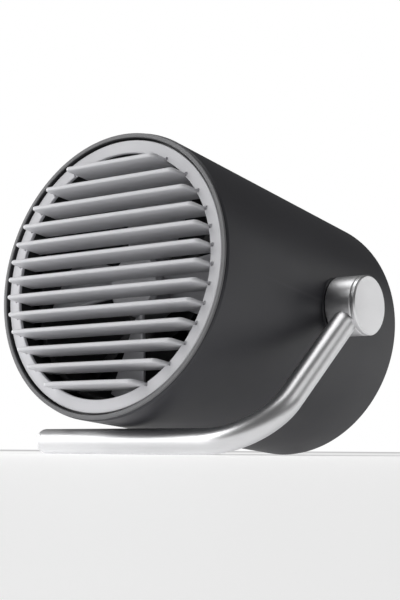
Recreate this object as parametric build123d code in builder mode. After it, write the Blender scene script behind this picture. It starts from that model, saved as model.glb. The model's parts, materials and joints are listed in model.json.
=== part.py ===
from build123d import *

import os
from math import asin, cos, degrees, radians, sin, sqrt

# Small desk fan: a tapered drum with a louvred grille at the front and an air
# intake at the rear, carried on one side by a bent aluminium tube. The tube
# runs forward and down from a pivot barrel and turns under the belly as a foot
# bar. The fan stands on that bar and on the rear bottom edge of the drum.
#
# Millimetres. +Z is up, the fan blows towards -Y with its nose tilted up, and
# the pivot is on the +X side. The origin is on the desk, in the middle of the
# fan's footprint. Inside the head, a place is given by its depth behind the
# rim, its radius from the fan axis, and its height above that axis.

# ---------------------------------------------------------------- dimensions

tilt = 6.9                 # nose-up angle of the fan axis at rest, degrees
tilt_range = 83.1          # further turn that brings the nose straight up

rim_radius = 57.5
rear_radius = 54.6
body_length = 128.5
shell_wall = 2.2
rear_edge = 0.8            # rounding of the drum's rear edge

bezel_proud = 0.7          # the bezel's lip in front of the rim
bezel_back = 0.1           # where the bezel's outer band ends
bezel_outer = 57.0
bezel_rounding = 0.3
seam = 0.4                 # gap between bezel and shell
bezel_inner = 55.2
collar_outer = 56.2
collar_inner = 53.0
collar_front = 3.2
collar_back = 8.8

grille_face = 0.5
grille_outer = 54.5
grille_inner = 49.2
ring_back = 2.0            # back of the grille's flat ring
foot_back = 3.0            # the ring's outer foot, which stands on the bezel's collar
foot_inner = 52.8
retainer_outer = 52.6
retainer_inner = 50.6
retainer_back = 9.5
louvre_count = 13
louvre_pitch = 7.29
louvre_thickness = 1.7
louvre_proud = 7.0
louvre_back = 7.5
louvre_corner = 2.2
louvre_rounding = 0.6
louvre_reach = 49.5        # radius at which a louvre's end meets the ring
dimple_radius = 0.85
dimple_depth = 0.9
dimple_gap = 0.05

duct_inner = 47.2
duct_outer = 49.2
duct_front = 12.0
flange_front = 40.2
flange_back = 42.2
flange_radius = 53.6
frame_screw_circle = 51.4
plate_front = 34.0
plate_back = 36.5
cup_back = 46.0
strut_width = 4.0
strut_depth = 4.5

blade_count = 4
blade_tip = 45.8
blade_middle = 22.3        # depth of the blades' mid line
blade_turn = 85.0          # direction of the first blade at rest
root_chord = 17.0
root_thickness = 1.9
root_pitch = 42.0
tip_chord = 32.0
tip_thickness = 1.3
tip_pitch = 22.0
hub_radius = 13.0
hub_front = 15.0
hub_back = 29.5

shaft_radius = 1.5
bush_bore = 1.55
bush_outer = 3.5
motor_radius = 17.5
can_wall = 1.2
can_back = 60.0
armature_bore = 9.0        # circle on which the armature's slots are centred
bell_rim = 2.2
bell_radius = 10.5
bell_bore = 8.5
commutator_radius = 3.2
commutator_front = 59.4
commutator_back = 63.0
brush_back = 62.6
brush_length = 4.9
brush_width = 3.0
brush_depth = 2.0

cover_front = 125.5
cover_back = 127.7
cover_radius = 52.1
cover_screw_circle = 49.2
board_front = 116.0
board_back = 117.6
board_height = -36.0       # height of the board's centre line
inlet_x = -8.0
button_x = 9.0
button_radius = 4.0
button_travel = 0.7
vent_width = 2.6
vent_rings = [(13.0, 12, 0, 10.0), (26.0, 22, 8.2, 11.0), (39.0, 34, 0, 10.0)]
blank_width = 56.0         # area round the controls that has no vents
blank_height = 24.0
inlet_width = 8.9
inlet_height = 3.2
inlet_wall = 0.3
inlet_mouth_gap = 0.4

pivot_depth = 78.85
pivot_radius = 12.2
boss_inside = 49.5
boss_face = 56.4
barrel_inner_end = 57.0
barrel_outer_end = 68.6
barrel_web = 61.5
cap_face = 70.85
bolt_radius = 3.0
bolt_hole = 3.05
stop_pin_radius = 1.0
stop_pin_circle = 9.2
stop_slot_clearance = 0.3

tube_radius = 5.0
tube_wall = 1.0
arm_reach = 86.8           # pivot axis to the bar's centre line
arm_x = 64.2
bend_radius = 24.7
bar_end = -45.2
plug_length = 3.0

# ---------------------------------------------------------- places and frames

slope = radians(tilt)
forward = Vector(0, -cos(slope), sin(slope))
rearward = Vector(0, cos(slope), -sin(slope))
upward = Vector(0, sin(slope), cos(slope))
sideways = Vector(1, 0, 0)

# The rear bottom edge rests on the desk, which sets the height of the pivot.
taper = (rim_radius - rear_radius) / body_length
edge_centre_radius = rear_radius + taper * rear_edge - rear_edge
pivot_height = (
    (body_length - rear_edge - pivot_depth) * sin(slope)
    + edge_centre_radius * cos(slope)
    + rear_edge
)
lowest_louvre = (louvre_count // 2) * louvre_pitch + louvre_thickness / 2
nose_reach = louvre_proud * cos(slope) + lowest_louvre * sin(slope)
tail_reach = body_length * cos(slope) + edge_centre_radius * sin(slope)

front_centre = Vector(
    (rim_radius - cap_face) / 2,
    (nose_reach - tail_reach) / 2,
    pivot_height + pivot_depth * sin(slope),
)
pivot_centre = front_centre + rearward * pivot_depth

# Across the fan axis: x sideways, y up, looking at the nose.
head = Plane(origin=front_centre, x_dir=sideways, z_dir=forward)
# Along the fan axis: x is the radius, y is the depth, z is up.
profile = Plane(origin=front_centre, x_dir=sideways, z_dir=upward)
# Across the pivot axis: x rearward, y up, measured out along +X.
pivot_face = Plane(origin=pivot_centre, x_dir=rearward, z_dir=sideways)
# Along the pivot axis: x is the radius, y is the distance out along +X.
pivot_profile = Plane(origin=pivot_centre, x_dir=upward, z_dir=rearward)

fan_axis = Axis(front_centre, rearward)

arm_slope = asin((pivot_height - tube_radius) / arm_reach)
arm_direction = Vector(0, -cos(arm_slope), -sin(arm_slope))
arm_start = pivot_centre + sideways * arm_x
bar_corner = arm_start + arm_direction * arm_reach
# In the tube's own bending plane: x along the arm, y along the bar.
bend_plane = Plane(
    origin=arm_start,
    x_dir=arm_direction,
    z_dir=arm_direction.cross(-sideways),
)


def station(depth):
    """The plane across the fan axis at a depth behind the rim."""
    return head.offset(-depth)


def outer_radius(depth):
    """The drum's outside radius, which shrinks evenly towards the rear."""
    return rim_radius - taper * depth


def inner_radius(depth):
    return outer_radius(depth) - shell_wall


def turn(frame, *points):
    """Revolve a closed outline of (radius, distance) points about the frame's y axis."""
    with BuildSketch(frame) as section:
        with BuildLine():
            Polyline(*points, close=True)
        make_face()
    revolve(section.sketch, axis=Axis(frame.origin, frame.y_dir))


def bore(plane, radius, length, *places):
    """Cut round holes of one radius into the active part, along the plane's normal."""
    with BuildSketch(plane) as holes:
        with Locations(*places):
            Circle(radius)
    extrude(holes.sketch, amount=length, mode=Mode.SUBTRACT)


def rod(plane, radius, length, *places):
    """Add round rods of one radius to the active part, along the plane's normal."""
    with BuildSketch(plane) as rounds:
        with Locations(*places):
            Circle(radius)
    extrude(rounds.sketch, amount=length)


def around(radius, count, start):
    """Points evenly spaced round a circle."""
    return [
        (
            radius * cos(radians(start + i * 360 / count)),
            radius * sin(radians(start + i * 360 / count)),
        )
        for i in range(count)
    ]


def keep(part, name):
    """Label a finished piece and write it to its own file."""
    part.label = name
    export_step(part, f"parts/{name}.step")


os.makedirs("parts", exist_ok=True)

# ------------------------------------------------------------- drum and front

frame_screw_places = around(frame_screw_circle, 4, 45)
cover_screw_places = around(cover_screw_circle, 4, 45)
ledge_front = 121.5
ledge_inner = 46.5
frame_ledge_back = 46.2
frame_ledge_inner = 49.6
rebate_back = 9.0
rebate_radius = 56.3
shell_front = bezel_back + seam
edge_band = 0.8            # chamfer round the shell's front edge
edge_step = 0.6
thread_radius = 1.2

with BuildPart() as housing_shell:
    turn(
        profile,
        (rim_radius - edge_step, shell_front),
        (outer_radius(shell_front + edge_band), shell_front + edge_band),
        (outer_radius(body_length), body_length),
        (inner_radius(body_length), body_length),
        (inner_radius(cover_front), cover_front),
        (ledge_inner, cover_front),
        (ledge_inner, ledge_front),
        (inner_radius(ledge_front), ledge_front),
        (inner_radius(frame_ledge_back), frame_ledge_back),
        (frame_ledge_inner, frame_ledge_back),
        (frame_ledge_inner, flange_back),
        (inner_radius(flange_back), flange_back),
        (inner_radius(rebate_back), rebate_back),
        (rebate_radius, rebate_back),
        (rebate_radius, shell_front),
    )
    rear_circles = housing_shell.edges().filter_by(GeomType.CIRCLE).sort_by(fan_axis)[-2:]
    fillet(rear_circles.sort_by(SortBy.RADIUS)[-1], rear_edge)
    rod(pivot_face.offset(boss_inside), pivot_radius, boss_face - boss_inside, (0, 0))
    bore(pivot_face.offset(boss_inside), bolt_hole, boss_face - boss_inside, (0, 0))
    # Arc slot in the boss, in which the barrel's stop pin travels.
    stop_slot_depth = 2.6
    arm_angle = degrees(arm_slope) + tilt
    half_slot = stop_pin_radius + stop_slot_clearance
    with BuildSketch(pivot_face.offset(boss_face - stop_slot_depth)) as stop_slot:
        with BuildLine():
            CenterArc((0, 0), stop_pin_circle - half_slot, arm_angle, tilt_range)
            CenterArc((0, 0), stop_pin_circle + half_slot, arm_angle, tilt_range)
            CenterArc(around(stop_pin_circle, 1, arm_angle)[0], half_slot, arm_angle + 180, 180)
            end_angle = arm_angle + tilt_range
            CenterArc(around(stop_pin_circle, 1, end_angle)[0], half_slot, end_angle, 180)
        make_face()
    extrude(stop_slot.sketch, amount=stop_slot_depth, mode=Mode.SUBTRACT)
    bore(station(frame_ledge_back), thread_radius, frame_ledge_back - flange_back, *frame_screw_places)
    bore(station(cover_front), thread_radius, cover_front - ledge_front, *cover_screw_places)
keep(housing_shell.part, "housing_shell")

with BuildPart() as front_bezel:
    turn(
        profile,
        (bezel_outer, bezel_back),
        (bezel_outer, -bezel_proud),
        (bezel_inner, -bezel_proud),
        (bezel_inner, collar_front),
        (collar_inner, collar_front),
        (collar_inner, collar_back),
        (collar_outer, collar_back),
        (collar_outer, bezel_back),
    )
    fillet(front_bezel.edges().filter_by(GeomType.CIRCLE).sort_by(fan_axis)[:2], bezel_rounding)
keep(front_bezel.part, "front_bezel")


def louvre(height):
    """One horizontal blade of the grille, with its front corners and edges rounded."""
    half_span = sqrt(louvre_reach**2 - height**2)
    length = louvre_proud + louvre_back
    with BuildPart() as blade:
        with BuildSketch(profile.offset(height - louvre_thickness / 2)) as plan:
            with Locations((0, louvre_back - length / 2)):
                Rectangle(2 * half_span, length)
            fillet(plan.vertices().sort_by(Axis.Y)[:2], louvre_corner)
        extrude(amount=louvre_thickness)
        flat_edges = blade.edges().filter_by(Axis(front_centre, upward), reverse=True)
        fillet(flat_edges.sort_by(fan_axis)[:-2], louvre_rounding)
    return blade.part


louvre_heights = [
    (i - louvre_count // 2) * louvre_pitch
    for i in range(louvre_count)
]
dimple_places = [
    (side * (sqrt(louvre_reach**2 - height**2) + dimple_gap + dimple_radius), height)
    for height in louvre_heights
    for side in (-1, 1)
]

with BuildPart() as front_grille:
    turn(
        profile,
        (grille_inner, grille_face),
        (grille_outer, grille_face),
        (grille_outer, foot_back),
        (foot_inner, foot_back),
        (foot_inner, ring_back),
        (grille_inner, ring_back),
    )
    for height in louvre_heights:
        add(louvre(height))
    bore(station(grille_face + dimple_depth), dimple_radius, dimple_depth, *dimple_places)
keep(front_grille.part, "front_grille")

with BuildPart() as grille_retainer:
    turn(
        profile,
        (retainer_inner, ring_back),
        (retainer_outer, ring_back),
        (retainer_outer, retainer_back),
        (retainer_inner, retainer_back),
    )
keep(grille_retainer.part, "grille_retainer")

# -------------------------------------------------- fan frame, impeller, motor

boss_radius = 5.0
motor_gap = 0.2
cup_wall = 1.8
cup_inner = motor_radius + motor_gap
motor_screw_circle = 8.5
motor_screw_places = around(motor_screw_circle, 2, 0)
strut_overlap = 1.0        # how far a strut runs into the duct's wall
screw_radius = 1.2
screw_clearance = 1.4

with BuildPart() as fan_frame:
    turn(
        profile,
        (duct_inner, duct_front),
        (duct_outer, duct_front),
        (duct_outer, flange_front),
        (flange_radius, flange_front),
        (flange_radius, flange_back),
        (duct_inner, flange_back),
    )
    turn(
        profile,
        (boss_radius + motor_gap, plate_front),
        (cup_inner + cup_wall, plate_front),
        (cup_inner + cup_wall, cup_back),
        (cup_inner, cup_back),
        (cup_inner, plate_back),
        (boss_radius + motor_gap, plate_back),
    )
    strut_inside = cup_inner + cup_wall / 2
    strut_length = duct_inner + strut_overlap - strut_inside
    with BuildSketch(station(plate_front + strut_depth)) as struts:
        with PolarLocations(strut_inside + strut_length / 2, 4, 45):
            Rectangle(strut_length, strut_width)
    extrude(struts.sketch, amount=strut_depth)
    bore(station(flange_back), screw_clearance, flange_back - flange_front, *frame_screw_places)
    bore(station(plate_back), screw_clearance, plate_back - plate_front, *motor_screw_places)
keep(fan_frame.part, "fan_frame")


def screws(name, head_station, towards_rear, places, head_radius, head_height, length, radius):
    """A set of pan-head screws, each with a cross slot, standing on one station."""
    direction = -1 if towards_rear else 1
    slot_width = 0.7
    slot_length = 1.3 * head_radius
    with BuildPart() as group:
        rod(station(head_station), head_radius, -direction * head_height, *places)
        rod(station(head_station), radius, direction * length, *places)
        with BuildSketch(station(head_station).offset(-direction * head_height)) as slots:
            with Locations(*places):
                Rectangle(slot_length, slot_width)
                Rectangle(slot_width, slot_length)
        extrude(slots.sketch, amount=direction * head_height / 2, mode=Mode.SUBTRACT)
    keep(group.part, name)


screws("frame_screws", flange_front, True, frame_screw_places, 2.1, 1.5, 5.8, screw_radius)
screws("motor_screws", plate_front, True, motor_screw_places, 2.2, 1.5, 5.0, screw_radius)

hub_wall = 1.4
hub_nose = 1.5             # chamfer of the hub's front edge
hub_post = 4.0
hub_post_back = 29.0
shaft_front = 17.5
tip_overlap = 1.0          # the blades are lofted past their tips, then trimmed round

with BuildPart() as impeller:
    for i in range(blade_count):
        angle = radians(blade_turn + i * 360 / blade_count)
        outward = sideways * cos(angle) + upward * sin(angle)
        tangent = upward * cos(angle) - sideways * sin(angle)
        middle = front_centre + rearward * blade_middle
        root_plane = Plane(middle + outward * (hub_radius - hub_wall / 2), tangent, outward)
        tip_plane = Plane(middle + outward * (blade_tip + tip_overlap), tangent, outward)
        with BuildSketch(root_plane) as root:
            SlotOverall(root_chord, root_thickness, rotation=root_pitch)
        with BuildSketch(tip_plane) as tip:
            SlotOverall(tip_chord, tip_thickness, rotation=tip_pitch)
        loft([root.sketch, tip.sketch])
    with BuildSketch(station(hub_back)) as swept_circle:
        Circle(blade_tip)
    extrude(swept_circle.sketch, amount=hub_back - hub_front, mode=Mode.INTERSECT)
    turn(
        profile,
        (0, hub_front),
        (hub_radius - hub_nose, hub_front),
        (hub_radius, hub_front + hub_nose),
        (hub_radius, hub_back),
        (hub_radius - hub_wall, hub_back),
        (hub_radius - hub_wall, shaft_front),
        (hub_post, shaft_front),
        (hub_post, hub_post_back),
        (shaft_radius, hub_post_back),
        (shaft_radius, shaft_front),
        (0, shaft_front),
    )
keep(impeller.part, "impeller")

nose_front = 33.0
nose_back = 38.5
magnet_front = 41.5
magnet_length = 15.0
core_front = 42.0
core_back = 56.0
core_radius = 12.6
pocket_back = 63.6
bell_back = 67.5
shaft_back = 68.5

with BuildPart() as motor_shaft:
    rod(station(shaft_back), shaft_radius, shaft_back - shaft_front, (0, 0))
keep(motor_shaft.part, "motor_shaft")

with BuildPart() as armature_core:
    with BuildSketch(station(core_back)):
        Circle(core_radius)
        Circle(shaft_radius, mode=Mode.SUBTRACT)
        with PolarLocations(armature_bore, 3, 30):
            Circle(2.6, mode=Mode.SUBTRACT)
        with PolarLocations(armature_bore + 2.5, 3, 30):
            Rectangle(4.0, 1.6, mode=Mode.SUBTRACT)
    extrude(amount=core_back - core_front)
keep(armature_core.part, "armature_core")

winding_height = 2.4
winding_inner = 4.5
winding_outer = 11.0
with BuildPart() as armature_windings:
    for start in (core_front - winding_height, core_back):
        turn(
            profile,
            (winding_inner, start),
            (winding_outer, start),
            (winding_outer, start + winding_height),
            (winding_inner, start + winding_height),
        )
keep(armature_windings.part, "armature_windings")

with BuildPart() as commutator:
    turn(
        profile,
        (shaft_radius, commutator_front),
        (commutator_radius, commutator_front),
        (commutator_radius, commutator_back),
        (shaft_radius, commutator_back),
    )
keep(commutator.part, "commutator")

with BuildPart() as motor_can:
    turn(
        profile,
        (bush_outer, nose_front),
        (boss_radius, nose_front),
        (boss_radius, plate_back),
        (motor_radius, plate_back),
        (motor_radius, can_back),
        (motor_radius - can_wall, can_back),
        (motor_radius - can_wall, plate_back + can_wall),
        (boss_radius, plate_back + can_wall),
        (boss_radius, nose_back),
        (bush_outer, nose_back),
    )
    bore(station(plate_back + can_wall), screw_radius, can_wall, *motor_screw_places)
keep(motor_can.part, "motor_can")

air_gap = 0.6
magnet_spacing = 9.0       # gap between the two magnets' ends
glue_gap = 0.05

with BuildPart() as motor_magnets:
    with BuildSketch(station(magnet_front + magnet_length)):
        Circle(motor_radius - can_wall - glue_gap)
        Circle(core_radius + air_gap, mode=Mode.SUBTRACT)
        Rectangle(magnet_spacing, 2 * motor_radius, mode=Mode.SUBTRACT)
    extrude(amount=magnet_length)
keep(motor_magnets.part, "motor_magnets")

with BuildPart() as motor_end_bell:
    turn(
        profile,
        (bell_bore, can_back),
        (motor_radius, can_back),
        (motor_radius, can_back + bell_rim),
        (bell_radius, can_back + bell_rim),
        (bell_radius, bell_back),
        (bush_outer, bell_back),
        (bush_outer, pocket_back),
        (bell_bore, pocket_back),
    )
keep(motor_end_bell.part, "motor_end_bell")

brush_gap = 0.25           # between a brush's tip and the commutator
brush_x = commutator_radius + brush_gap + brush_length / 2

with BuildPart() as motor_brushes:
    with BuildSketch(station(brush_back)):
        with Locations((-brush_x, 0), (brush_x, 0)):
            Rectangle(brush_length, brush_width)
    extrude(amount=brush_depth)
keep(motor_brushes.part, "motor_brushes")


def bush(name, front, back):
    """A sintered bronze sleeve that the motor shaft turns in."""
    with BuildPart() as sleeve:
        turn(profile, (bush_bore, front), (bush_outer, front), (bush_outer, back), (bush_bore, back))
    keep(sleeve.part, name)


bush("front_bush", nose_front, nose_back)
bush("rear_bush", pocket_back, bell_back)

terminal_x = 13.5
terminal_back = 69.0
with BuildPart() as motor_terminals:
    with BuildSketch(station(terminal_back)):
        with Locations((-terminal_x, 0), (terminal_x, 0)):
            Rectangle(0.6, 2.8)
    extrude(amount=terminal_back - can_back - bell_rim)
keep(motor_terminals.part, "motor_terminals")

lead_radius = 0.7
lead_straight = 16.0       # straight run at each end of a lead
lead_bend = 12.0
with BuildPart() as motor_leads:
    for lead_x in (-terminal_x, terminal_x):
        side_plane = Plane(
            origin=front_centre + sideways * lead_x,
            x_dir=rearward,
            z_dir=sideways,
        )
        with BuildLine(side_plane) as lead_path:
            FilletPolyline(
                (terminal_back, 0),
                (terminal_back + lead_straight, 0),
                (board_front - lead_straight, board_height),
                (board_front, board_height),
                radius=lead_bend,
            )
        with BuildSketch(Plane(origin=lead_path.line @ 0, z_dir=lead_path.line % 0)) as lead_section:
            Circle(lead_radius)
        sweep(lead_section.sketch, path=lead_path.line)
keep(motor_leads.part, "motor_leads")

# ------------------------------------------------------ rear cover and controls

board_width = 44.0
board_depth = 15.0
standoff_places = [(-18.0, board_height), (18.0, board_height)]
standoff_radius = 3.0
board_screw_radius = 0.9
cover_head_radius = 2.2
cover_head_height = 1.2
inlet_place = (inlet_x, board_height)
button_place = (button_x, board_height)
button_clearance = 0.08
cover_thickness = cover_back - cover_front

with BuildPart() as rear_cover:
    turn(
        profile,
        (0, cover_front),
        (cover_radius, cover_front),
        (cover_radius, cover_back),
        (0, cover_back),
    )
    rod(station(cover_front), standoff_radius, cover_front - board_back, *standoff_places)
    with BuildSketch(station(cover_back)) as vents:
        for ring_radius, slot_count, first_angle, slot_length in vent_rings:
            with PolarLocations(ring_radius, slot_count, first_angle):
                SlotOverall(slot_length, vent_width)
    with BuildSketch(station(cover_back)) as blank:
        with Locations((0, board_height)):
            Rectangle(blank_width, blank_height)
    extrude(vents.sketch - blank.sketch, amount=cover_thickness, mode=Mode.SUBTRACT)
    bore(station(cover_back), screw_clearance, cover_thickness, *cover_screw_places)
    bore(station(cover_back), cover_head_radius + 0.2, cover_head_height, *cover_screw_places)
    bore(station(cover_front), board_screw_radius, cover_front - board_back, *standoff_places)
    bore(station(cover_back), button_radius + button_clearance, cover_thickness, button_place)
    with BuildSketch(station(cover_back)) as inlet_mouth:
        with Locations(inlet_place):
            SlotOverall(inlet_width + 2 * inlet_mouth_gap, inlet_height + 2 * inlet_mouth_gap)
    extrude(inlet_mouth.sketch, amount=cover_thickness, mode=Mode.SUBTRACT)
keep(rear_cover.part, "rear_cover")

screws(
    "cover_screws",
    cover_back - cover_head_height,
    False,
    cover_screw_places,
    cover_head_radius,
    cover_head_height,
    6.0,
    screw_radius,
)

with BuildPart() as control_board:
    with BuildSketch(station(board_back)):
        with Locations((0, board_height)):
            Rectangle(board_width, board_depth)
        with Locations(*standoff_places):
            Circle(board_screw_radius + 0.2, mode=Mode.SUBTRACT)
    extrude(amount=board_back - board_front)
keep(control_board.part, "control_board")

screws("board_screws", board_front, True, standoff_places, 1.9, 1.3, 7.0, board_screw_radius)

inlet_floor = 1.0
inlet_back = cover_back - 0.8
tongue_back = cover_back - 2.0

with BuildPart() as usb_inlet:
    with BuildSketch(station(board_back + inlet_floor)) as inlet_base:
        with Locations(inlet_place):
            SlotOverall(inlet_width, inlet_height)
    extrude(inlet_base.sketch, amount=inlet_floor)
    with BuildSketch(station(inlet_back)) as inlet_shell:
        with Locations(inlet_place):
            SlotOverall(inlet_width, inlet_height)
            SlotOverall(inlet_width - 2 * inlet_wall, inlet_height - 2 * inlet_wall, mode=Mode.SUBTRACT)
    extrude(inlet_shell.sketch, amount=inlet_back - board_back)
    with BuildSketch(station(tongue_back)) as inlet_tongue:
        with Locations(inlet_place):
            Rectangle(6.6, 0.7)
    extrude(inlet_tongue.sketch, amount=tongue_back - board_back)
keep(usb_inlet.part, "usb_inlet")

switch_back = 121.1
plunger_radius = 1.7
plunger_back = 122.4
plunger_front = 119.6
end_gap = 0.1              # left under the plunger when it is pressed home

with BuildPart() as switch_body:
    with BuildSketch(station(switch_back)) as switch_outline:
        with Locations(button_place):
            RectangleRounded(6.0, 6.0, 0.4)
    extrude(switch_outline.sketch, amount=switch_back - board_back)
    bore(
        station(switch_back),
        plunger_radius + button_clearance,
        switch_back - plunger_front + button_travel + end_gap,
        button_place,
    )
keep(switch_body.part, "switch_body")

with BuildPart() as switch_plunger:
    rod(station(plunger_back), plunger_radius, plunger_back - plunger_front, button_place)
keep(switch_plunger.part, "switch_plunger")

button_flange_radius = 5.2
button_flange_back = cover_front - 0.2
button_flange_front = button_flange_back - 1.4
button_stem_radius = 2.2
button_back = 128.2
button_rounding = 0.5

with BuildPart() as power_button:
    for front, back, radius in (
        (plunger_back, button_flange_front, button_stem_radius),
        (button_flange_front, button_flange_back, button_flange_radius),
        (button_flange_back, button_back, button_radius),
    ):
        rod(station(back), radius, back - front, button_place)
    fillet(power_button.edges().filter_by(GeomType.CIRCLE).sort_by(fan_axis)[-1], button_rounding)
keep(power_button.part, "power_button")

# ------------------------------------------------------------- pivot and stand

washer_radius = 6.6
washer_hole = 3.2
washer_thickness = 0.5
plate_inside = 48.0
nut_inside = 44.5
bolt_inside = 43.5
bolt_head_face = 65.6
bolt_head_seat = 62.4
bolt_head_radius = 5.0
barrel_chamfer = 0.4
barrel_socket = 8.5

with BuildPart() as pivot_barrel:
    turn(
        pivot_profile,
        (bolt_hole, barrel_inner_end),
        (pivot_radius - barrel_chamfer, barrel_inner_end),
        (pivot_radius, barrel_inner_end + barrel_chamfer),
        (pivot_radius, barrel_outer_end - barrel_chamfer),
        (pivot_radius - barrel_chamfer, barrel_outer_end),
        (barrel_socket, barrel_outer_end),
        (barrel_socket, barrel_web),
        (bolt_hole, barrel_web),
    )
    stop_pin_place = around(stop_pin_circle, 1, arm_angle)
    stop_pin_seat = 3.5
    bore(pivot_face.offset(barrel_inner_end), stop_pin_radius, stop_pin_seat, *stop_pin_place)
keep(pivot_barrel.part, "pivot_barrel")

with BuildPart() as tilt_stop_pin:
    pin_tip = boss_face - stop_slot_depth + 0.4
    rod(
        pivot_face.offset(pin_tip),
        stop_pin_radius,
        barrel_inner_end + stop_pin_seat - pin_tip,
        *stop_pin_place,
    )
keep(tilt_stop_pin.part, "tilt_stop_pin")

cap_back = barrel_outer_end + 0.3
cap_chamfer = 0.6
cap_spigot_wall = 1.6
cap_spigot_end = 66.0

with BuildPart() as pivot_cap:
    turn(
        pivot_profile,
        (0, cap_face),
        (pivot_radius - cap_chamfer, cap_face),
        (pivot_radius, cap_face - cap_chamfer),
        (pivot_radius, cap_back),
        (barrel_socket, cap_back),
        (barrel_socket, cap_spigot_end),
        (barrel_socket - cap_spigot_wall, cap_spigot_end),
        (barrel_socket - cap_spigot_wall, cap_back),
        (0, cap_back),
    )
keep(pivot_cap.part, "pivot_cap")

with BuildPart() as pivot_bolt:
    turn(
        pivot_profile,
        (0, bolt_inside),
        (bolt_radius, bolt_inside),
        (bolt_radius, bolt_head_seat),
        (bolt_head_radius, bolt_head_seat),
        (bolt_head_radius, bolt_head_face),
        (0, bolt_head_face),
    )
    socket_depth = 1.8
    with BuildSketch(pivot_face.offset(bolt_head_face - socket_depth)) as hex_socket:
        RegularPolygon(2.3, 6)
    extrude(hex_socket.sketch, amount=socket_depth, mode=Mode.SUBTRACT)
keep(pivot_bolt.part, "pivot_bolt")


def washer(name, inside, outside):
    """A flat ring round the pivot bolt."""
    with BuildPart() as ring:
        turn(
            pivot_profile,
            (washer_hole, inside),
            (washer_radius, inside),
            (washer_radius, outside),
            (washer_hole, outside),
        )
    keep(ring.part, name)


washer("friction_washer", boss_face, boss_face + washer_thickness)
washer("spring_washer", barrel_web + 0.1, bolt_head_seat)

with BuildPart() as pivot_plate:
    with BuildSketch(pivot_face.offset(plate_inside)):
        RectangleRounded(17.0, 17.0, 2.0)
        Circle(bolt_hole, mode=Mode.SUBTRACT)
    extrude(amount=boss_inside - plate_inside)
keep(pivot_plate.part, "pivot_plate")

with BuildPart() as pivot_nut:
    with BuildSketch(pivot_face.offset(nut_inside)):
        RegularPolygon(5.2, 6)
        Circle(bolt_radius, mode=Mode.SUBTRACT)
    extrude(amount=plate_inside - nut_inside)
keep(pivot_nut.part, "pivot_nut")

# The arm's upper end is coped to the barrel, so it starts just inside it.
cope_start = 10.5
bar_run = arm_x - bar_end - plug_length

with BuildPart() as stand_tube:
    with BuildLine(bend_plane) as tube_path:
        FilletPolyline(
            (cope_start, 0),
            (arm_reach, 0),
            (arm_reach, bar_run),
            radius=bend_radius,
        )
    with BuildSketch(Plane(origin=tube_path.line @ 0, z_dir=tube_path.line % 0)) as tube_section:
        Circle(tube_radius)
        Circle(tube_radius - tube_wall, mode=Mode.SUBTRACT)
    sweep(tube_section.sketch, path=tube_path.line)
    bore(pivot_face.offset(barrel_inner_end), pivot_radius, cap_face - barrel_inner_end, (0, 0))
keep(stand_tube.part, "stand_tube")

# Along the foot bar: x is the radius, y runs along +X from the bar's free end.
bar_profile = Plane(
    origin=(front_centre.X + bar_end, bar_corner.Y, bar_corner.Z),
    x_dir=(0, 0, 1),
    z_dir=(0, 1, 0),
)
plug_rounding = 2.4
spigot_radius = tube_radius - tube_wall
spigot_length = 6.0

with BuildPart() as tube_plug:
    turn(
        bar_profile,
        (0, 0),
        (tube_radius, 0),
        (tube_radius, plug_length),
        (spigot_radius, plug_length),
        (spigot_radius, plug_length + spigot_length),
        (0, plug_length + spigot_length),
    )
    fillet(tube_plug.edges().filter_by(GeomType.CIRCLE).sort_by(Axis.X)[0], plug_rounding)
keep(tube_plug.part, "tube_plug")
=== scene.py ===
import json
from math import asin, atan2, cos, pi, radians, sin, sqrt, tan

import bmesh
import bpy
from mathutils import Matrix, Vector


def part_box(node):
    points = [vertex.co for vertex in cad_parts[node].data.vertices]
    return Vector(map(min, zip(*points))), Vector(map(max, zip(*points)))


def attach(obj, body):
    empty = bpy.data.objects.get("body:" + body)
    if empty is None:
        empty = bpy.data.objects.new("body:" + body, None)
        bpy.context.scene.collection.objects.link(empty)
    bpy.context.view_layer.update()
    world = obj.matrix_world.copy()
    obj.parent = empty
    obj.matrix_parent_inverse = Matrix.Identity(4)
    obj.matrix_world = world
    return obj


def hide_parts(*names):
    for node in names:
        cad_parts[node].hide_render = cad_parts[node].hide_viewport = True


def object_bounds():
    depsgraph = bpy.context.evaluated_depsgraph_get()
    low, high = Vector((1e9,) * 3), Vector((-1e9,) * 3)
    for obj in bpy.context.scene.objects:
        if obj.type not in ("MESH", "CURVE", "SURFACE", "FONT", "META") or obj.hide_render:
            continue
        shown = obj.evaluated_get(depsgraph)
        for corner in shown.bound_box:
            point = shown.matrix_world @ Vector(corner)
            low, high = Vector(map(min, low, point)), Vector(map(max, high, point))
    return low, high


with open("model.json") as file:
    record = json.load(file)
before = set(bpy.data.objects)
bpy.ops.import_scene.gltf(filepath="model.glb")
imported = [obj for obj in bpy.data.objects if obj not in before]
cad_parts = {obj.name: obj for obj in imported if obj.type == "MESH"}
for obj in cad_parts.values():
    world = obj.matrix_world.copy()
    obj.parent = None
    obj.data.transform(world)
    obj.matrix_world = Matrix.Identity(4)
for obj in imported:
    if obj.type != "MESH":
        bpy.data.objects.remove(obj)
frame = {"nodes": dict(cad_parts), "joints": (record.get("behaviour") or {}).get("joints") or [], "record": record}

# A small desk fan, dressed for its portrait. The CAD model gives the bodies,
# the joints and every hidden piece. The outside pieces are made again here
# with finer roundings. Metres throughout, in the row frame: +Z up, the fan
# blows towards -Y with its nose tilted up, and its pivot is on the +X side.

cad_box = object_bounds()
mm = 0.001

# ------------------------------------------------------------ from the frame

joints = {joint["name"]: joint for joint in frame["joints"]}
side = Vector((1, 0, 0))
forward = Vector(joints["impeller_spin"]["axis"]).normalized()
rearward = -forward
upward = side.cross(rearward)
pivot = Vector(joints["head_tilt"]["pos_m"])
hub_place = Vector(joints["impeller_spin"]["pos_m"])

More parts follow.
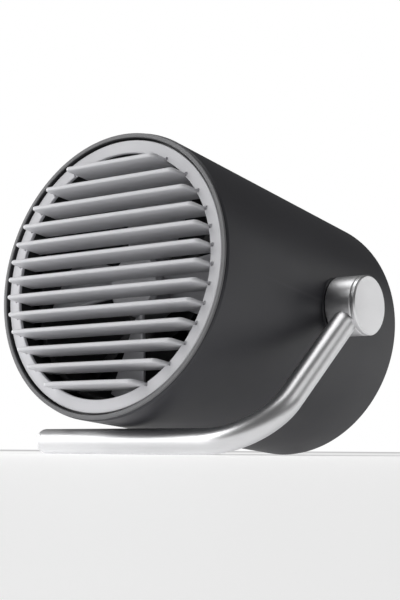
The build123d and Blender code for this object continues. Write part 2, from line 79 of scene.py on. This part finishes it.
BLADE_DEPTH = 22.3 * mm          # the impeller joint's depth behind the rim
rim_centre = hub_place - rearward * BLADE_DEPTH


def half_width(node):
    """Half of a CAD node's size along X, which is the radius of anything turned about the fan axis."""
    low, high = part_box(node)
    return (high[0] - low[0]) / 2


RIM_RADIUS = 57.5 * mm
BEZEL_RADIUS = half_width("front_bezel")
GRILLE_RADIUS = half_width("front_grille")
BODY_LENGTH = 128.5 * mm
REAR_RADIUS = 54.6 * mm
TAPER = (RIM_RADIUS - REAR_RADIUS) / BODY_LENGTH

CAP_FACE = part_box("pivot_cap")[1][0]
BARREL_LOW, BARREL_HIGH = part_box("pivot_barrel")
BARREL_RADIUS = (BARREL_HIGH[2] - BARREL_LOW[2]) / 2
TUBE_RADIUS = (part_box("tube_plug")[1][2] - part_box("tube_plug")[0][2]) / 2
BAR_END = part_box("tube_plug")[0][0]
ARM_X = rim_centre.x + 64.2 * mm
ARM_REACH = 86.8 * mm
BEND_RADIUS = 24.7 * mm

# ------------------------------------------------------------- mesh building


def rounded(points, steps=6):
    """A closed outline with its corners rounded: a point is (x, y) or (x, y, radius)."""
    outline = []
    count = len(points)
    for i, point in enumerate(points):
        here = Vector(point[:2])
        radius = point[2] if len(point) > 2 else 0
        if not radius:
            outline.append(here)
            continue
        to_last = (Vector(points[i - 1][:2]) - here).normalized()
        to_next = (Vector(points[(i + 1) % count][:2]) - here).normalized()
        half_angle = to_last.angle(to_next) / 2
        centre = here + (to_last + to_next).normalized() * radius / sin(half_angle)
        start = here + to_last * radius / tan(half_angle)
        end = here + to_next * radius / tan(half_angle)
        first = atan2(start.y - centre.y, start.x - centre.x)
        turn = atan2(end.y - centre.y, end.x - centre.x) - first
        turn = (turn + pi) % (2 * pi) - pi
        for k in range(steps + 1):
            angle = first + turn * k / steps
            outline.append(centre + Vector((cos(angle), sin(angle))) * radius)
    return outline


def finish_mesh(name, mesh_data, body, slot, smooth_angle=35):
    """Turn a bmesh into a smooth-shaded piece that rides on a body and wears a slot's material."""
    bmesh.ops.remove_doubles(mesh_data, verts=mesh_data.verts, dist=1e-7)
    bmesh.ops.recalc_face_normals(mesh_data, faces=mesh_data.faces)
    mesh = bpy.data.meshes.new(name)
    mesh_data.to_mesh(mesh)
    mesh_data.free()
    for polygon in mesh.polygons:
        polygon.use_smooth = True
    mesh.set_sharp_from_angle(angle=radians(smooth_angle))
    piece = bpy.data.objects.new(name, mesh)
    bpy.context.scene.collection.objects.link(piece)
    mesh.materials.append(finish(slot))
    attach(piece, body)
    return piece


def add_turned(mesh_data, origin, axis, outline, segments=192):
    """Add a turned solid: a closed outline of (radius, distance) swept round an axis."""
    across = side if abs(axis.dot(side)) < 0.5 else upward
    other = axis.cross(across)
    rings = []
    for radius, distance in outline:
        centre = origin + axis * distance
        if radius < 1e-7:
            rings.append([mesh_data.verts.new(centre)])
            continue
        ring = []
        for k in range(segments):
            angle = 2 * pi * k / segments
            ring.append(mesh_data.verts.new(centre + (across * cos(angle) + other * sin(angle)) * radius))
        rings.append(ring)
    for i, ring in enumerate(rings):
        following = rings[(i + 1) % len(rings)]
        if len(ring) == 1 and len(following) == 1:
            continue
        for k in range(segments):
            after = (k + 1) % segments
            corners = [ring[k % len(ring)], ring[after % len(ring)]]
            corners += [following[after % len(following)], following[k % len(following)]]
            unique = list(dict.fromkeys(corners))
            mesh_data.faces.new(unique)


def turned(name, origin, axis, points, body, slot, segments=192):
    mesh_data = bmesh.new()
    add_turned(mesh_data, origin, axis, rounded(points), segments)
    return finish_mesh(name, mesh_data, body, slot)


def add_swept(mesh_data, sections):
    """Join closed loops of equal length into a skin and cap both ends."""
    rings = [[mesh_data.verts.new(point) for point in section] for section in sections]
    count = len(rings[0])
    for ring, following in zip(rings, rings[1:]):
        for k in range(count):
            after = (k + 1) % count
            mesh_data.faces.new([ring[k], ring[after], following[after], following[k]])
    mesh_data.faces.new(rings[0])
    mesh_data.faces.new(rings[-1])


def cut(piece, cutter_mesh):
    """Cut a bmesh's volume out of a piece, and keep the result as its mesh."""
    mesh = bpy.data.meshes.new("cutter")
    bmesh.ops.recalc_face_normals(cutter_mesh, faces=cutter_mesh.faces)
    cutter_mesh.to_mesh(mesh)
    cutter_mesh.free()
    cutter = bpy.data.objects.new("cutter", mesh)
    bpy.context.scene.collection.objects.link(cutter)
    difference = piece.modifiers.new("cut", "BOOLEAN")
    difference.operation = "DIFFERENCE"
    difference.solver = "EXACT"
    difference.object = cutter
    bpy.context.view_layer.update()
    graph = bpy.context.evaluated_depsgraph_get()
    result = bpy.data.meshes.new_from_object(piece.evaluated_get(graph))
    piece.modifiers.remove(difference)
    piece.data = result
    bpy.data.objects.remove(cutter)
    for polygon in result.polygons:
        polygon.use_smooth = True
    result.set_sharp_from_angle(angle=radians(35))


# ----------------------------------------------------------------- materials


def surface(name):
    """A new material and the parts of its node tree that the finishes below use."""
    material = bpy.data.materials.new(name + "_finish")
    material.use_nodes = True
    nodes, links = material.node_tree.nodes, material.node_tree.links
    return material, nodes, links, nodes["Principled BSDF"]


def noise(nodes, links, scale, detail, stretch=(1, 1, 1)):
    """Noise in the object's own coordinates; scale is in features per metre."""
    place = nodes.new("ShaderNodeTexCoord")
    mapping = nodes.new("ShaderNodeMapping")
    mapping.inputs["Scale"].default_value = stretch
    texture = nodes.new("ShaderNodeTexNoise")
    texture.inputs["Scale"].default_value = scale
    texture.inputs["Detail"].default_value = detail
    links.new(place.outputs["Object"], mapping.inputs["Vector"])
    links.new(mapping.outputs["Vector"], texture.inputs["Vector"])
    return texture.outputs["Fac"]


def spread(nodes, links, value, low, high):
    """Map a 0 to 1 value onto a range."""
    ranged = nodes.new("ShaderNodeMapRange")
    ranged.inputs["From Min"].default_value = 0.3
    ranged.inputs["From Max"].default_value = 0.7
    ranged.inputs["To Min"].default_value = low
    ranged.inputs["To Max"].default_value = high
    links.new(value, ranged.inputs["Value"])
    return ranged.outputs["Result"]


def tint(nodes, links, factor, first, second):
    """Blend two colours by a value."""
    mix = nodes.new("ShaderNodeMix")
    mix.data_type = "RGBA"
    mix.inputs["A"].default_value = (*first, 1)
    mix.inputs["B"].default_value = (*second, 1)
    links.new(factor, mix.inputs["Factor"])
    return mix.outputs["Result"]


def relief(nodes, links, shader, height, depth, strength=1.0):
    """Bump the surface by a height value of the given depth in metres."""
    bump = nodes.new("ShaderNodeBump")
    bump.inputs["Strength"].default_value = strength
    bump.inputs["Distance"].default_value = depth
    links.new(height, bump.inputs["Height"])
    links.new(bump.outputs["Normal"], shader.inputs["Normal"])


def moulded(name, colour, roughness, grain=2600, depth=0.03 * mm, edge_lift=0.04):
    """Moulded plastic: a fine spark-eroded grain, cloudy gloss, and slightly paler sharp convex edges, found by
    pointiness.
    """
    material, nodes, links, shader = surface(name)
    cloud = noise(nodes, links, 28, 3)
    fine = noise(nodes, links, grain, 4)
    paler = tuple(min(1, channel * 1.14) for channel in colour)
    base = tint(nodes, links, cloud, colour, paler)
    # Sharp convex edges, found by pointiness, are made slightly paler.
    geometry = nodes.new("ShaderNodeNewGeometry")
    edge = nodes.new("ShaderNodeMapRange")
    edge.inputs["From Min"].default_value = 0.53
    edge.inputs["From Max"].default_value = 0.62
    edge.inputs["To Max"].default_value = 0.5
    links.new(geometry.outputs["Pointiness"], edge.inputs["Value"])
    edge_tint = nodes.new("ShaderNodeMix")
    edge_tint.data_type = "RGBA"
    links.new(edge.outputs["Result"], edge_tint.inputs["Factor"])
    links.new(base, edge_tint.inputs["A"])
    edge_tint.inputs["B"].default_value = (*(min(1, channel + edge_lift) for channel in colour), 1)
    links.new(edge_tint.outputs["Result"], shader.inputs["Base Color"])
    links.new(spread(nodes, links, cloud, roughness - 0.04, roughness + 0.05), shader.inputs["Roughness"])
    relief(nodes, links, shader, fine, depth)
    return material


def blasted(name, colour, roughness, grain=3200, depth=0.012 * mm):
    """Bead blasted and anodised aluminium: a fine even sparkle without direction."""
    material, nodes, links, shader = surface(name)
    cloud = noise(nodes, links, 60, 3)
    fine = noise(nodes, links, grain, 5)
    darker = tuple(channel * 0.93 for channel in colour)
    shader.inputs["Metallic"].default_value = 1.0
    links.new(tint(nodes, links, cloud, darker, colour), shader.inputs["Base Color"])
    links.new(spread(nodes, links, fine, roughness - 0.05, roughness + 0.07), shader.inputs["Roughness"])
    relief(nodes, links, shader, fine, depth)
    return material


def turned_metal(name, colour, roughness, pitch=0.16 * mm, depth=0.004 * mm):
    """Metal faced on a lathe about the pivot: fine rings round the axis, and a faint sparkle."""
    material, nodes, links, shader = surface(name)
    place = nodes.new("ShaderNodeTexCoord")
    centred = nodes.new("ShaderNodeVectorMath")
    centred.operation = "SUBTRACT"
    centred.inputs[1].default_value = pivot
    links.new(place.outputs["Object"], centred.inputs[0])
    rings = nodes.new("ShaderNodeTexWave")
    rings.wave_type = "RINGS"
    rings.rings_direction = "X"
    rings.inputs["Scale"].default_value = 0.314 / pitch
    rings.inputs["Distortion"].default_value = 0.4
    links.new(centred.outputs["Vector"], rings.inputs["Vector"])
    fine = noise(nodes, links, 900, 4)
    darker = tuple(channel * 0.95 for channel in colour)
    shader.inputs["Metallic"].default_value = 1.0
    links.new(tint(nodes, links, fine, darker, colour), shader.inputs["Base Color"])
    links.new(spread(nodes, links, fine, roughness - 0.04, roughness + 0.05), shader.inputs["Roughness"])
    relief(nodes, links, shader, rings.outputs["Fac"], depth)
    return material


def plated(name, colour, roughness, scale=700):
    """Plated or drawn metal on the small hardware, with a mottled gloss."""
    material, nodes, links, shader = surface(name)
    mottled = noise(nodes, links, scale, 5)
    darker = tuple(channel * 0.82 for channel in colour)
    shader.inputs["Metallic"].default_value = 1.0
    links.new(tint(nodes, links, mottled, darker, colour), shader.inputs["Base Color"])
    links.new(spread(nodes, links, mottled, roughness - 0.08, roughness + 0.1), shader.inputs["Roughness"])
    relief(nodes, links, shader, mottled, 0.006 * mm)
    return material


FINISHES = {
    "charcoal_plastic": lambda: moulded("charcoal_plastic", (0.026, 0.026, 0.031), 0.46),
    "bezel_plastic": lambda: moulded("bezel_plastic", (0.12, 0.12, 0.125), 0.42),
    "grille_plastic": lambda: moulded("grille_plastic", (0.56, 0.56, 0.58), 0.42, depth=0.015 * mm),
    "frame_plastic": lambda: moulded("frame_plastic", (0.012, 0.012, 0.013), 0.55),
    "impeller_plastic": lambda: moulded("impeller_plastic", (0.42, 0.42, 0.44), 0.36, depth=0.01 * mm),
    "anodised_aluminium": lambda: blasted("anodised_aluminium", (0.80, 0.80, 0.81), 0.36),
    "cap_aluminium": lambda: turned_metal("cap_aluminium", (0.83, 0.83, 0.84), 0.34),
    "zinc_steel": lambda: plated("zinc_steel", (0.58, 0.59, 0.60), 0.32),
    "motor_steel": lambda: plated("motor_steel", (0.50, 0.50, 0.51), 0.30),
    "laminated_steel": lambda: plated("laminated_steel", (0.22, 0.22, 0.23), 0.50),
    "magnet": lambda: moulded("magnet", (0.06, 0.06, 0.06), 0.70),
    "copper": lambda: plated("copper", (0.72, 0.36, 0.20), 0.30),
    "bronze": lambda: plated("bronze", (0.62, 0.44, 0.22), 0.45),
    "carbon": lambda: moulded("carbon", (0.03, 0.03, 0.03), 0.60),
    "white_nylon": lambda: moulded("white_nylon", (0.72, 0.71, 0.67), 0.45),
    "black_nylon": lambda: moulded("black_nylon", (0.018, 0.018, 0.018), 0.50),
    "board": lambda: moulded("board", (0.02, 0.15, 0.06), 0.30, grain=900),
    "lead_insulation": lambda: moulded("lead_insulation", (0.30, 0.02, 0.02), 0.45),
    "button_plastic": lambda: moulded("button_plastic", (0.13, 0.13, 0.14), 0.42),
}
finished = {}


def finish(slot):
    """The material for one of the record's slots, made once."""
    if slot not in finished:
        finished[slot] = FINISHES[slot]()
    return finished[slot]


# ------------------------------------------------------------ drum and bezel

BEZEL_PROUD = 0.7 * mm
BEZEL_BACK = 0.1 * mm
BEZEL_INNER = 55.2 * mm
# thickness of the near-black sleeve that paints shade on the bezel's inner wall
PAINTED_SHADE_LINER = 0.15 * mm
SEAM = 0.4 * mm
SHELL_WALL = 2.2 * mm
EDGE_BAND = 0.8 * mm
EDGE_STEP = 0.6 * mm
REAR_EDGE = 0.8 * mm
COVER_FRONT = 125.5 * mm
BOSS_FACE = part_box("friction_washer")[0][0]
TILT_RANGE = radians(83.1)
BOLT_BORE = 3.05 * mm
BOSS_DEPTH = 6.9 * mm
STOP_CIRCLE = 9.2 * mm           # the stop pin's distance from the pivot
STOP_HALF_WIDTH = 1.3 * mm
STOP_DEPTH = 2.6 * mm
COLLAR_FRONT = 3.2 * mm
COLLAR_BACK = 8.8 * mm
COLLAR_INNER = 53.0 * mm
COLLAR_OUTER = 56.2 * mm
PIVOT_DEPTH = 78.85 * mm
BOSS_BAND = 13 * mm             # the shell has an edge loop this far before and behind the pivot


def outer_radius(depth):
    return RIM_RADIUS - TAPER * depth


def build_bezel():
    """The rim ring: a rounded lip and a collar that reaches into the drum, then a near-black liner round the
    grille that is painted shade on the lip's inner wall.
    """
    bezel = turned(
        "rim_bezel",
        rim_centre,
        rearward,
        [
            (BEZEL_RADIUS, BEZEL_BACK, 0.1 * mm),
            (BEZEL_RADIUS, -BEZEL_PROUD, 0.3 * mm),
            (BEZEL_INNER + PAINTED_SHADE_LINER, -BEZEL_PROUD, 0.3 * mm),
            (BEZEL_INNER + PAINTED_SHADE_LINER, COLLAR_FRONT),
            (COLLAR_INNER, COLLAR_FRONT, 0.2 * mm),
            (COLLAR_INNER, COLLAR_BACK, 0.3 * mm),
            (COLLAR_OUTER, COLLAR_BACK, 0.3 * mm),
            (COLLAR_OUTER, BEZEL_BACK),
        ],
        "head",
        "bezel_plastic",
        segments=256,
    )
    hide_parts("front_bezel")
    # Near-black sleeve on the lip's inner wall: painted shade where the narrow gap round the grille is dark from
    # shadow.
    turned(
        "rim_painted_shade_liner",
        rim_centre,
        rearward,
        [
            (BEZEL_INNER, -0.35 * mm, 0.05 * mm),
            (BEZEL_INNER + PAINTED_SHADE_LINER, -0.35 * mm),
            (BEZEL_INNER + PAINTED_SHADE_LINER, 3.1 * mm),
            (BEZEL_INNER, 3.1 * mm, 0.05 * mm),
        ],
        "head",
        "frame_plastic",
        segments=256,
    )


def stop_slot():
    """The arc in the boss's face that the stand's stop pin runs in, as a solid to cut out."""
    low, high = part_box("tilt_stop_pin")
    start = atan2((low[2] + high[2]) / 2 - pivot.z, (low[1] + high[1]) / 2 - pivot.y)
    end = start + TILT_RANGE

    def on_arc(radius, angle):
        return Vector((0, cos(angle), sin(angle))) * radius

    steps = 32
    angles = [start + TILT_RANGE * k / steps for k in range(steps + 1)]
    outer = [on_arc(STOP_CIRCLE + STOP_HALF_WIDTH, angle) for angle in angles]
    inner = [on_arc(STOP_CIRCLE - STOP_HALF_WIDTH, angle) for angle in reversed(angles)]

    def end_cap(angle, first):
        middle = on_arc(STOP_CIRCLE, angle)
        return [middle + on_arc(STOP_HALF_WIDTH, first + pi * k / 8) for k in range(1, 8)]

    loop = outer + end_cap(end, end) + inner + end_cap(start, start + pi)
    slot = bmesh.new()
    centre = Vector((0, pivot.y, pivot.z))
    ends = (BOSS_FACE - STOP_DEPTH, BOSS_FACE + mm)
    add_swept(slot, [[centre + side * x + point for point in loop] for x in ends])
    return slot


def build_shell():
    """The tapered drum, with its chamfered front edge, inner ledges and pivot boss."""
    front = BEZEL_BACK + SEAM
    frame_ledge = 46.2 * mm
    shell = turned(
        "drum_shell",
        rim_centre,
        rearward,
        [
            (RIM_RADIUS - EDGE_STEP, front, 0.15 * mm),
            (outer_radius(front + EDGE_BAND), front + EDGE_BAND, 0.3 * mm),
            (outer_radius(PIVOT_DEPTH - BOSS_BAND), PIVOT_DEPTH - BOSS_BAND),
            (outer_radius(PIVOT_DEPTH + BOSS_BAND), PIVOT_DEPTH + BOSS_BAND),
            (outer_radius(BODY_LENGTH), BODY_LENGTH, REAR_EDGE),
            (outer_radius(BODY_LENGTH) - SHELL_WALL, BODY_LENGTH, 0.3 * mm),
            (outer_radius(COVER_FRONT) - SHELL_WALL, COVER_FRONT),
            (46.5 * mm, COVER_FRONT),
            (46.5 * mm, 121.5 * mm, 0.3 * mm),
            (outer_radius(121.5 * mm) - SHELL_WALL, 121.5 * mm, 0.8 * mm),
            (outer_radius(PIVOT_DEPTH + BOSS_BAND) - SHELL_WALL, PIVOT_DEPTH + BOSS_BAND),
            (outer_radius(PIVOT_DEPTH - BOSS_BAND) - SHELL_WALL, PIVOT_DEPTH - BOSS_BAND),
            (outer_radius(frame_ledge) - SHELL_WALL, frame_ledge, 0.8 * mm),
            (49.6 * mm, frame_ledge, 0.3 * mm),
            (49.6 * mm, 42.2 * mm),
            (outer_radius(42.2 * mm) - SHELL_WALL, 42.2 * mm),
            (outer_radius(9.0 * mm) - SHELL_WALL, 9.0 * mm),
            (56.3 * mm, 9.0 * mm),
            (56.3 * mm, front),
        ],
        "head",
        "charcoal_plastic",
        segments=256,
    )
    hole = bmesh.new()
    add_turned(
        hole,
        Vector((BOSS_FACE, pivot.y, pivot.z)),
        side,
        [(0, -16 * mm), (BOLT_BORE, -16 * mm), (BOLT_BORE, 5 * mm), (0, 5 * mm)],
        segments=48,
    )
    cut(shell, hole)
    boss = turned(
        "pivot_boss",
        Vector((BOSS_FACE, pivot.y, pivot.z)),
        side,
        [
            (BOLT_BORE, -BOSS_DEPTH),
            (BARREL_RADIUS, -BOSS_DEPTH),
            (BARREL_RADIUS, 0, 0.25 * mm),
            (BOLT_BORE, 0),
        ],
        "head",
        "charcoal_plastic",
        segments=96,
    )
    cut(boss, stop_slot())
    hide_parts("housing_shell")
    return shell, boss


# -------------------------------------------------------------------- grille

GRILLE_FACE = 0.5 * mm
GRILLE_INNER = 49.2 * mm
RING_BACK = 2.0 * mm
FOOT_BACK = 3.0 * mm
FOOT_INNER = 52.8 * mm
LOUVRE_COUNT = 13
LOUVRE_PITCH = 7.29 * mm
LOUVRE_THICKNESS = 1.7 * mm
LOUVRE_PROUD = 7.0 * mm
LOUVRE_BACK = 7.5 * mm
LOUVRE_CORNER = 2.2 * mm
LOUVRE_REACH = 49.5 * mm
DIMPLE_RADIUS = 0.85 * mm
DIMPLE_GAP = 0.05 * mm


def louvre_plan(half_span, inset):
    """A louvre seen from above, moved in from its edge: (sideways, depth) points, front corners rounded."""
    span = half_span - inset
    front = -LOUVRE_PROUD + inset
    corner = LOUVRE_CORNER - inset
    back = LOUVRE_BACK
    return rounded(
        [(span, back), (span, front, corner), (-span, front, corner), (-span, back)],
        steps=10,
    )


def add_louvre(mesh_data, height):
    """One blade: a plate whose front and side edges are rounded from face to face."""
    half_span = sqrt(LOUVRE_REACH**2 - height**2)
    edge = 0.8 * mm
    flat = LOUVRE_THICKNESS / 2 - edge
    steps = 6
    levels = []
    for k in range(-steps, steps + 1):
        angle = pi / 2 * k / steps
        level = flat * (1 if k > 0 else -1 if k < 0 else 0) + edge * sin(angle)
        levels.append((level, edge * (1 - cos(angle))))
    sections = []
    for level, inset in levels:
        origin = rim_centre + upward * (height + level)
        sections.append([
            origin + side * point.x + rearward * point.y
            for point in louvre_plan(half_span, inset)
        ])
    add_swept(mesh_data, sections)


def louvre_heights():
    return [(i - LOUVRE_COUNT // 2) * LOUVRE_PITCH for i in range(LOUVRE_COUNT)]


def build_grille():
    """The light grey front: a flat ring with a foot, and the louvres proud of it."""
    ring = turned(
        "grille_ring",
        rim_centre,
        rearward,
        [
            (GRILLE_INNER, GRILLE_FACE, 0.45 * mm),
            (GRILLE_RADIUS, GRILLE_FACE, 0.45 * mm),
            (GRILLE_RADIUS, FOOT_BACK, 0.2 * mm),
            (FOOT_INNER, FOOT_BACK),
            (FOOT_INNER, RING_BACK),
            (GRILLE_INNER, RING_BACK, 0.2 * mm),
        ],
        "head",
        "grille_plastic",
        segments=256,
    )
    dimples = bmesh.new()
    for height in louvre_heights():
        for sign in (-1, 1):
            place = rim_centre + upward * height
            half_span = sqrt(LOUVRE_REACH**2 - height**2)
            place += side * sign * (half_span + DIMPLE_GAP + DIMPLE_RADIUS)
            add_turned(
                dimples,
                place,
                rearward,
                [(0, -1 * mm), (DIMPLE_RADIUS, -1 * mm), (DIMPLE_RADIUS, 1.4 * mm), (0, 1.4 * mm)],
                segments=20,
            )
    cut(ring, dimples)
    blades = bmesh.new()
    for height in louvre_heights():
        add_louvre(blades, height)
    louvres = finish_mesh("grille_louvres", blades, "head", "grille_plastic")
    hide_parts("front_grille")
    return ring, louvres


# --------------------------------------------------------------------- stand


def build_tube():
    """The bent tube: coped to the barrel, down the arm, round the bend and along the foot bar."""
    drop = pivot.z - TUBE_RADIUS
    arm_slope = asin(drop / ARM_REACH)
    arm = Vector((0, -cos(arm_slope), -sin(arm_slope)))
    start = Vector((ARM_X, pivot.y, pivot.z))
    corner = start + arm * ARM_REACH
    across = side.cross(arm)
    around = 72
    bend_steps = 40
    seam = BAR_END + 3.0 * mm

    def ring(centre, heading, cope=False):
        lateral = heading.cross(across)
        points = []
        for k in range(around):
            angle = 2 * pi * k / around
            offset = (lateral * cos(angle) + across * sin(angle)) * TUBE_RADIUS
            point = centre + offset
            if cope:
                point += arm * sqrt(BARREL_RADIUS**2 - (TUBE_RADIUS * sin(angle)) ** 2)
            points.append(point)
        return points

    sections = [ring(start, arm, cope=True)]
    straight_end = ARM_REACH - BEND_RADIUS
    cope_end = BARREL_RADIUS + 0.5 * mm
    arm_steps = 14
    for k in range(arm_steps + 1):
        along = cope_end + (straight_end - cope_end) * k / arm_steps
        sections.append(ring(start + arm * along, arm))
    bend_centre = start + arm * straight_end - side * BEND_RADIUS
    for k in range(1, bend_steps + 1):
        angle = pi / 2 * k / bend_steps
        centre = bend_centre + (side * cos(angle) + arm * sin(angle)) * BEND_RADIUS
        sections.append(ring(centre, arm * cos(angle) - side * sin(angle)))
    bar_start = ARM_X - BEND_RADIUS
    bar_steps = 14
    for k in range(1, bar_steps + 1):
        x = bar_start + (seam - bar_start) * k / bar_steps
        sections.append(ring(Vector((x, corner.y, corner.z)), -side))
    mesh_data = bmesh.new()
    add_swept(mesh_data, sections)
    tube = finish_mesh("bent_tube", mesh_data, "stand", "anodised_aluminium")
    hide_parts("stand_tube")
    plug = turned(
        "bar_plug",
        Vector((BAR_END, corner.y, corner.z)),
        side,
        [
            (0, 0),
            (TUBE_RADIUS, 0, 2.6 * mm),
            (TUBE_RADIUS, 2.94 * mm, 0.06 * mm),
            (0, 2.94 * mm),
        ],
        "stand",
        "anodised_aluminium",
        segments=96,
    )
    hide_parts("tube_plug")


def build_barrel():
    """The pivot barrel and its cap, with a bright chamfer on each rim and a groove between."""
    inner_end = BARREL_LOW[0]
    outer_end = BARREL_HIGH[0]
    origin = Vector((inner_end, pivot.y, pivot.z))
    length = outer_end - inner_end
    barrel = turned(
        "barrel",
        origin,
        side,
        [
            (BOLT_BORE, 0),
            (BARREL_RADIUS, 0, 0.4 * mm),
            (BARREL_RADIUS, length - 0.35 * mm, 0.08 * mm),
            (BARREL_RADIUS - 0.35 * mm, length, 0.08 * mm),
            (8.5 * mm, length),
            (8.5 * mm, 4.5 * mm),
            (BOLT_BORE, 4.5 * mm),
        ],
        "stand",
        "anodised_aluminium",
        segments=160,
    )
    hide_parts("pivot_barrel")
    cap_back = length + 0.3 * mm
    face = CAP_FACE - inner_end
    cap = turned(
        "barrel_cap",
        origin,
        side,
        [
            (0, face),
            (BARREL_RADIUS - 0.6 * mm, face, 0.1 * mm),
            (BARREL_RADIUS, face - 0.6 * mm, 0.1 * mm),
            (BARREL_RADIUS, cap_back, 0.1 * mm),
            (8.4 * mm, cap_back),
            (8.4 * mm, cap_back - 2.9 * mm),
            (6.8 * mm, cap_back - 2.9 * mm),
            (6.8 * mm, cap_back),
            (0, cap_back),
        ],
        "stand",
        "cap_aluminium",
        segments=160,
    )
    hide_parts("pivot_cap")


build_bezel()
build_shell()
build_grille()
build_tube()
build_barrel()

# The pieces that keep their CAD meshes get their slot's finish.
slots = {entry["node"]: entry["material_slot"] for entry in frame["record"]["subparts"]}
for node, piece in frame["nodes"].items():
    piece.data.materials.clear()
    piece.data.materials.append(finish(slots[node]))
    for polygon in piece.data.polygons:
        polygon.material_index = 0

# -------------------------------------------------------- stage and lighting


def build_floor():
    """A wide pale desk top, faintly glossy."""
    mesh = bpy.data.meshes.new("floor")
    reach = 6.0
    corners = [(-reach, -reach, 0), (reach, -reach, 0), (reach, reach, 0), (-reach, reach, 0)]
    mesh.from_pydata(corners, [], [(0, 1, 2, 3)])
    floor = bpy.data.objects.new("floor", mesh)
    bpy.context.scene.collection.objects.link(floor)
    material, nodes, links, shader = surface("floor")
    shader.inputs["Base Color"].default_value = (0.90, 0.90, 0.90, 1)
    shader.inputs["Roughness"].default_value = 0.5
    shader.inputs["Emission Color"].default_value = (1, 1, 1, 1)
    shader.inputs["Emission Strength"].default_value = 0.42
    mesh.materials.append(material)


def build_world():
    """A white backdrop, which lights the fan only softly, so the softboxes shape it."""
    world = bpy.data.worlds.new("studio")
    bpy.context.scene.world = world
    world.use_nodes = True
    nodes, links = world.node_tree.nodes, world.node_tree.links
    background = nodes["Background"]
    background.inputs["Color"].default_value = (1, 1, 1, 1)
    seen = nodes.new("ShaderNodeLightPath")
    strength = nodes.new("ShaderNodeMapRange")
    strength.inputs["To Min"].default_value = AMBIENT
    strength.inputs["To Max"].default_value = 1.0
    links.new(seen.outputs["Is Camera Ray"], strength.inputs["Value"])
    links.new(strength.outputs["Result"], background.inputs["Strength"])


def softbox(name, azimuth, elevation, power, width=0.45, height=0.45):
    """A softbox aimed at the fan; azimuth 0 is in front of it, and 90 is on its pivot side."""
    light = bpy.data.lights.new(name, "AREA")
    light.shape = "RECTANGLE"
    light.size = width
    light.size_y = height
    light.energy = power
    around, above = radians(azimuth), radians(elevation)
    away = Vector((cos(above) * sin(around), -cos(above) * cos(around), sin(above)))
    lamp = bpy.data.objects.new(name, light)
    lamp.location = fan_middle + away * SOFTBOX_DISTANCE
    lamp.location.z = max(lamp.location.z, height / 2 + 0.02)
    lamp.rotation_euler = (fan_middle - lamp.location).to_track_quat("-Z", "Y").to_euler()
    bpy.context.scene.collection.objects.link(lamp)


def build_camera():
    """A long lens at desk height, looking slightly up at the fan from its front right."""
    azimuth = radians(37.95)
    pitch = radians(6.59)
    roll = radians(-0.35)
    camera_data = bpy.data.cameras.new("camera")
    camera_data.lens = 78.2
    camera_data.sensor_width = 36
    camera_data.clip_start = 0.01
    camera = bpy.data.objects.new("camera", camera_data)
    bpy.context.scene.collection.objects.link(camera)
    turn = Matrix.Rotation(azimuth, 4, "Z")
    lift = Matrix.Rotation(pi / 2 + pitch, 4, "X")
    lean = Matrix.Rotation(-roll, 4, "Z")
    stand_off = Vector((336.98, -374.05, -67.97)) * mm
    camera.matrix_world = Matrix.Translation(rim_centre + stand_off) @ turn @ lift @ lean
    bpy.context.scene.camera = camera


AMBIENT = 0.1
SOFTBOX_DISTANCE = 0.95
fan_middle = (Vector(cad_box[0]) + Vector(cad_box[1])) / 2

build_floor()
build_world()
softbox("left_low", -75, 5, 4.6)
softbox("front_left_high", -30, 35, 2.3)
softbox("front_left_low", -30, 5, 1.5)
softbox("left_high", -90, 65, 1.15)
softbox("overhead", 0, 90, 1.3)
softbox("right_rear_high", 110, 35, 0.7)
softbox("right_rear_low", 150, 5, 0.6)
build_camera()
bpy.context.scene.view_settings.view_transform = "Standard"
